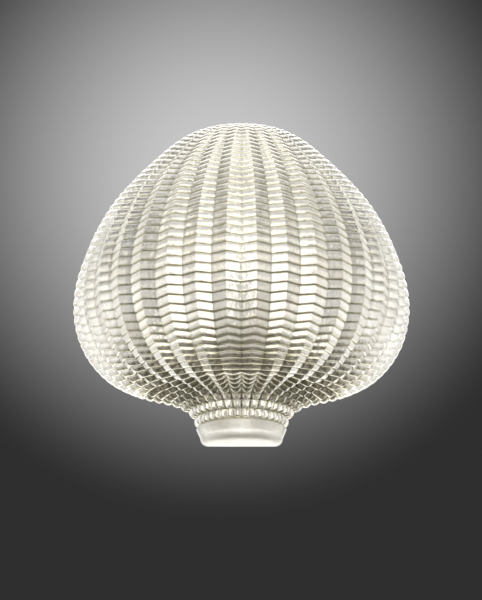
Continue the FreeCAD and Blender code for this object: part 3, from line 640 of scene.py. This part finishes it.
# a finish with soft clouds, fine grain and a roughness that wanders
def coat(name, colour, shadow, rough, cloudy=14.0, grain=900.0, relief=0.1, shine=0.0):
    s = finish
    mat = Mat(name)
    clouds = clouded(mat, cloudy)
    fine = mat.noise(grain, 2.0)
    shading = s["cloudShare"] * clouds + s["grainShare"] * mat.between(fine, *s["grainRange"])
    mat.set("Base Color", mat.blend(shading, colour, shadow))
    wander = s["roughClear"] + s["roughCloud"] * clouds
    mat.set("Roughness", rough * wander + s["roughGrain"] * (fine - 0.5))
    mat.set("Normal", mat.bump(fine, relief, s["grainHeight"]))
    mat.set("Coat Weight", shine)
    return mat


# plated metal: small crystal fields over soft clouds, and short drawn scratches
def spangled(name, colour, shadow, rough):
    s = plating
    mat = Mat(name, Metallic=1.0)
    fields = mat.node("ShaderNodeTexVoronoi", {}, {"Vector": mat.place(), "Scale": s["fields"]}, out="Color")
    light = mat.node("ShaderNodeRGBToBW", {}, [fields])
    shading = s["fieldShare"] * light + s["cloudShare"] * clouded(mat, s["clouds"])
    mat.set("Base Color", mat.blend(shading, colour, shadow))
    drawn = mat.node("ShaderNodeVectorMath", {"operation": "MULTIPLY"}, [mat.place(), s["scratches"]])
    scratch = mat.node("ShaderNodeTexNoise", {}, {"Vector": drawn, "Scale": 1.0})
    wander = s["roughClear"] + s["roughField"] * light
    mat.set("Roughness", rough * wander + s["roughScratch"] * (scratch - 0.5))
    mat.set("Normal", mat.bump(scratch, *s["scratchBump"]))
    return mat


def steatite():
    s = bakedClay
    mat = coat("steatite", s["clay"], s["shadow"], 0.62, 30.0, 1500.0, 0.2)
    spots = mat.node("ShaderNodeTexVoronoi", {}, {"Vector": mat.place(), "Scale": s["poreScale"]})
    mat.set("Base Color", mat.blend(mat.between(spots, *s["poreEdge"]), s["pore"], s["clay"]))
    return mat


def rubber(name, colour):
    return coat(name, colour, shaded(colour, 1.6), 0.62, 80.0, 1800.0, 0.25)


def sleeve(name, colour):
    return coat(name, colour, shaded(colour, 0.8), 0.38, 90.0, 2000.0, 0.12, shine=0.2)


# green with yellow bands, as on an earth lead
def stripedSleeve():
    s = stripes
    mat = sleeve("green sleeve", s["green"])
    x, y, z = mat.parts(mat.place())
    wave = ((x + y * s["slant"] + z) * s["wave"]).math("SINE")
    mat.set("Base Color", mat.blend(mat.between(wave, *s["edge"]), s["green"], s["yellow"]))
    return mat


# flashed opal glass of a lit bulb, with faint clouds
def opalGlow():
    s = opal
    mat = Mat("opal glass", Roughness=s["rough"])
    clouds = mat.between(mat.noise(s["clouds"]), *s["cloudRange"])
    mat.set("Base Color", mat.blend(clouds, *s["glass"]))
    mat.set("Emission Color", mat.blend(clouds, *s["glow"]))
    mat.set("Emission Strength", s["strength"])
    mat.set("Coat Weight", s["coat"])
    mat.set("Normal", mat.bump(mat.noise(s["grain"]), *s["grainBump"]))
    return mat


# colour, shadow and roughness, then the scale of the clouds and of the grain, and its relief
looks = {
    "white_paint": coat("white powder coat", (0.87, 0.86, 0.83), (0.82, 0.81, 0.775), 0.42,
                        9.0, 1100.0, 0.22),
    "zinc_steel": spangled("zinc plate", (0.66, 0.67, 0.67), (0.47, 0.48, 0.47), 0.34),
    "nickel": spangled("nickel plate", (0.76, 0.74, 0.70), (0.60, 0.57, 0.52), 0.20),
    "brass": spangled("brass", (0.80, 0.62, 0.33), (0.55, 0.39, 0.18), 0.27),
    "silicone": coat("silicone", (0.84, 0.84, 0.81), (0.76, 0.76, 0.72), 0.5, 70.0, 1200.0, 0.1),
    "brown_rubber": rubber("brown rubber", (0.15, 0.095, 0.06)),
    "black_rubber": rubber("black rubber", (0.028, 0.028, 0.028)),
    "white_plastic": coat("white plastic", (0.83, 0.82, 0.78), (0.77, 0.755, 0.70), 0.3,
                          22.0, 1500.0, 0.06, shine=0.15),
    "steatite": steatite(),
    "opal_glass": opalGlow(),
    "black_glass": coat("black glass", (0.02, 0.02, 0.025), (0.035, 0.03, 0.03), 0.12,
                        120.0, 900.0, 0.03, shine=0.5),
    "solder": spangled("solder", (0.60, 0.60, 0.61), (0.42, 0.42, 0.42), 0.38),
    "block_plastic": coat("polyamide", (0.80, 0.79, 0.74), (0.71, 0.70, 0.64), 0.45, 60.0, 1700.0, 0.12),
    "brown_sleeve": sleeve("brown sleeve", (0.19, 0.085, 0.045)),
    "blue_sleeve": sleeve("blue sleeve", (0.045, 0.14, 0.40)),
    "green_sleeve": stripedSleeve(),
}
slotOf = {part["node"]: part["material_slot"] for part in frame["record"]["subparts"]}
for name, obj in frame["nodes"].items():
    if slotOf[name] in looks:
        obj.data.materials.clear()
        obj.data.materials.append(looks[slotOf[name]].data)
print("finishes:", len(looks))


# rolled threads of the bulb cap and of the cup it screws into
threads = {
    "pitch": 0.0036,
    "depth": 0.00085,
    "runOut": 0.001,            # over this length the thread ends below its plain top
    "steps": 48,
    "ringsPerPitch": 8,
    # hole is the radius of the hole in the bottom, plainLow and plainHigh stay without thread
    "bulb_cap": {"body": "bulb", "slot": "nickel", "hole": 0.0095, "sheet": 0.0004,
                 "plainLow": 0.0015, "plainHigh": 0.0040},
    "screw_shell": {"body": "back", "slot": "brass", "hole": 0.0090, "sheet": 0.0005,
                    "plainLow": 0.0015, "plainHigh": 0.0015},
}


# cut through a cup of thin sheet, from its hole out and up, and back inside
def sheetLoop(radius, hole, sheet, bottom, top):
    rings = int((top - bottom) / threads["pitch"] * threads["ringsPerPitch"])
    outside = [(radius, z) for z in np.linspace(bottom, top, rings)]
    inside = [(radius - sheet, z) for z in np.linspace(top, bottom + sheet, rings)]
    return np.array([(hole, bottom)] + outside + inside + [(hole, bottom + sheet)])


# the sheet steps in along a helix, both walls together
def rollThread(mesh, centre, bottom, top, plainLow, plainHigh):
    coords = coordsOf(mesh)
    off = coords[:, :2] - centre
    angle = np.arctan2(off[:, 1], off[:, 0])
    turns = coords[:, 2] / threads["pitch"] - angle / (2 * math.pi)
    fade = np.clip((coords[:, 2] - bottom - plainLow / 2) / plainLow, 0, 1)
    fade *= np.clip((top - plainHigh - coords[:, 2]) / threads["runOut"], 0, 1)
    depth = threads["depth"] * (0.5 - 0.5 * np.cos(2 * math.pi * turns)) * fade
    coords[:, :2] -= depth[:, None] * np.stack([np.cos(angle), np.sin(angle)], axis=1)
    setCoords(mesh, coords)


def rolledPiece(node, body, slot, hole, sheet, plainLow, plainHigh):
    low, high = (np.array(point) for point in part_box(node))
    centre = (low[:2] + high[:2]) / 2
    loop = sheetLoop((high[0] - low[0]) / 2, hole, sheet, low[2], high[2])
    obj = emptyPiece("rolled_" + node)
    points = np.stack([loop[:, 0] + centre[0], np.full(len(loop), centre[1]), loop[:, 1]], axis=1)
    drawLine(obj.data, points, closed=True)
    editAll(obj)
    bpy.ops.mesh.spin(steps=threads["steps"], angle=2 * math.pi, center=(*centre, 0), axis=(0, 0, 1))
    bpy.ops.mesh.select_all(action="SELECT")
    bpy.ops.mesh.remove_doubles(threshold=making["weld"])
    bpy.ops.mesh.normals_make_consistent(inside=False)
    bpy.ops.object.mode_set(mode="OBJECT")
    rollThread(obj.data, centre, low[2], high[2], plainLow, plainHigh)
    finishPiece(obj, body, looks[slot].data)
    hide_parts(node)
    return obj


for node in ("bulb_cap", "screw_shell"):
    print("rolled:", len(rolledPiece(node, **threads[node]).data.polygons), "faces for", node)


studio = {
    "elevation": -17.0,
    "distance": 2.0,
    "aim": (-0.0004, 0.0, 0.0065),
    "frameHeight": 0.5033,
    "sensor": 36.0,
    "floorDrop": 1.2,
    "floorSize": 90,
    "floorColours": [(0.80, 0.80, 0.79), (0.76, 0.76, 0.75)],
    # place, side and watts
    "key": ((-0.9, -1.3, 1.5), 0.8, 9.0),
    "innerFill": ((0.2, -2.4, 0.4), 1.5, 26.0),
    # how far sideways, back or up a direction points, from and to, and the light there, from and to
    "middleBox": (0.31, 0.50, 2.3, 0.78),
    "sideBoxes": (0.82, 0.94, 0.0, 0.60),
    "behind": (0.15, 0.45, 0.0, 0.45),
    "grazing": (0.72, 0.93, 0.0, -0.75),
    "above": (0.55, 0.95, 1.0, 0.42),
    "below": (-0.88, -0.58, 0.05, 1.0),
    "lowTint": (0.88, 0.80, 0.50),
    "lowFade": (-0.90, -0.50, 0.0, 1.0),
    "softLight": 0.55,          # what dull surfaces get from every side
    # the pool of light behind the lamp: its direction, and how far from it, from and to, with the light there
    "poolTowards": (-0.0094, 1.0, 0.362),
    "pool": (0.0, 0.145, 0.60, 0.028),
    "roundAbout": (0.30, 0.60, 0.0, 0.50),
}


def makeCamera():
    s = studio
    tilt = math.radians(s["elevation"])
    away = Vector((0, -math.cos(tilt), math.sin(tilt))) * s["distance"]
    deselectAll()
    bpy.ops.object.camera_add(location=Vector(s["aim"]) + away)
    cam = bpy.context.object
    cam.rotation_mode = "QUATERNION"
    cam.rotation_quaternion = (-away).to_track_quat("-Z", "Y")
    cam.data.sensor_width = s["sensor"]
    cam.data.lens = s["sensor"] * s["distance"] / s["frameHeight"]
    bpy.context.scene.camera = cam


# a square lamp that looks at the origin and that mirrors don't show
def areaLamp(name, place, side, watts):
    deselectAll()
    bpy.ops.object.light_add(type="AREA", location=place)
    lamp = bpy.context.object
    lamp.name = name
    lamp.data.shape = "RECTANGLE"
    lamp.data.size = lamp.data.size_y = side
    lamp.data.energy = watts
    lamp.rotation_mode = "QUATERNION"
    lamp.rotation_quaternion = (-Vector(place)).to_track_quat("-Z", "Y")
    lamp.visible_glossy = False
    return lamp


def world():
    s = studio
    made = bpy.data.worlds.new("studio")
    bpy.context.scene.world = made
    made.use_nodes = True
    sky = Graph(made.node_tree)
    towards = sky.node("ShaderNodeTexCoord", out="Generated")
    x, depth, height = sky.parts(towards)
    sideways = x.math("ABSOLUTE")
    # a soft box in front and overhead, one at each side, and less light from below
    boxes = sky.softStep(sideways, s["middleBox"]) + sky.softStep(sideways, s["sideBoxes"])
    boxes = boxes + sky.softStep(depth, s["behind"]) + sky.softStep(depth, s["grazing"])
    boxes = boxes * sky.softStep(height, s["below"]) * sky.softStep(height, s["above"])
    centre = Vector(s["poolTowards"]).normalized()
    off = sky.node("ShaderNodeVectorMath", {"operation": "DISTANCE"}, [towards, centre], out="Value")
    pool = sky.softStep(off, s["pool"]) + sky.softStep(off, s["roundAbout"])
    # mirrors and glass see the boxes, dull surfaces an even light, and the camera the pool
    dull = sky.node("ShaderNodeLightPath", out="Is Diffuse Ray")
    seen = sky.node("ShaderNodeLightPath", out="Is Camera Ray")
    back = made.node_tree.nodes["Background"]
    sky.feed(back.inputs["Strength"], sky.mixed(seen, sky.mixed(dull, boxes, s["softLight"]), pool))
    # mirrors and glass see a darker, warmer light low down
    untinted = sky.softStep(height, s["lowFade"]).math("MAXIMUM", seen.math("MAXIMUM", dull))
    sky.feed(back.inputs["Color"], sky.blend(untinted, s["lowTint"], (1.0, 1.0, 1.0)))


def floor():
    deselectAll()
    bpy.ops.mesh.primitive_plane_add(size=studio["floorSize"], location=(0, 0, -studio["floorDrop"]))
    ground = nameIt("floor")
    ground.data.materials.append(coat("pale floor", *studio["floorColours"], 0.8, 2.0, 60.0, 0.05).data)
    ground.visible_glossy = False


makeCamera()
areaLamp("key", *studio["key"])
# light inside the shade, which the thick glass would otherwise keep out
inside = areaLamp("inner fill", *studio["innerFill"])
inside.data.use_shadow = False
inside.visible_transmission = False
world()
floor()
bpy.context.scene.view_settings.view_transform = "Standard"
print("studio set")
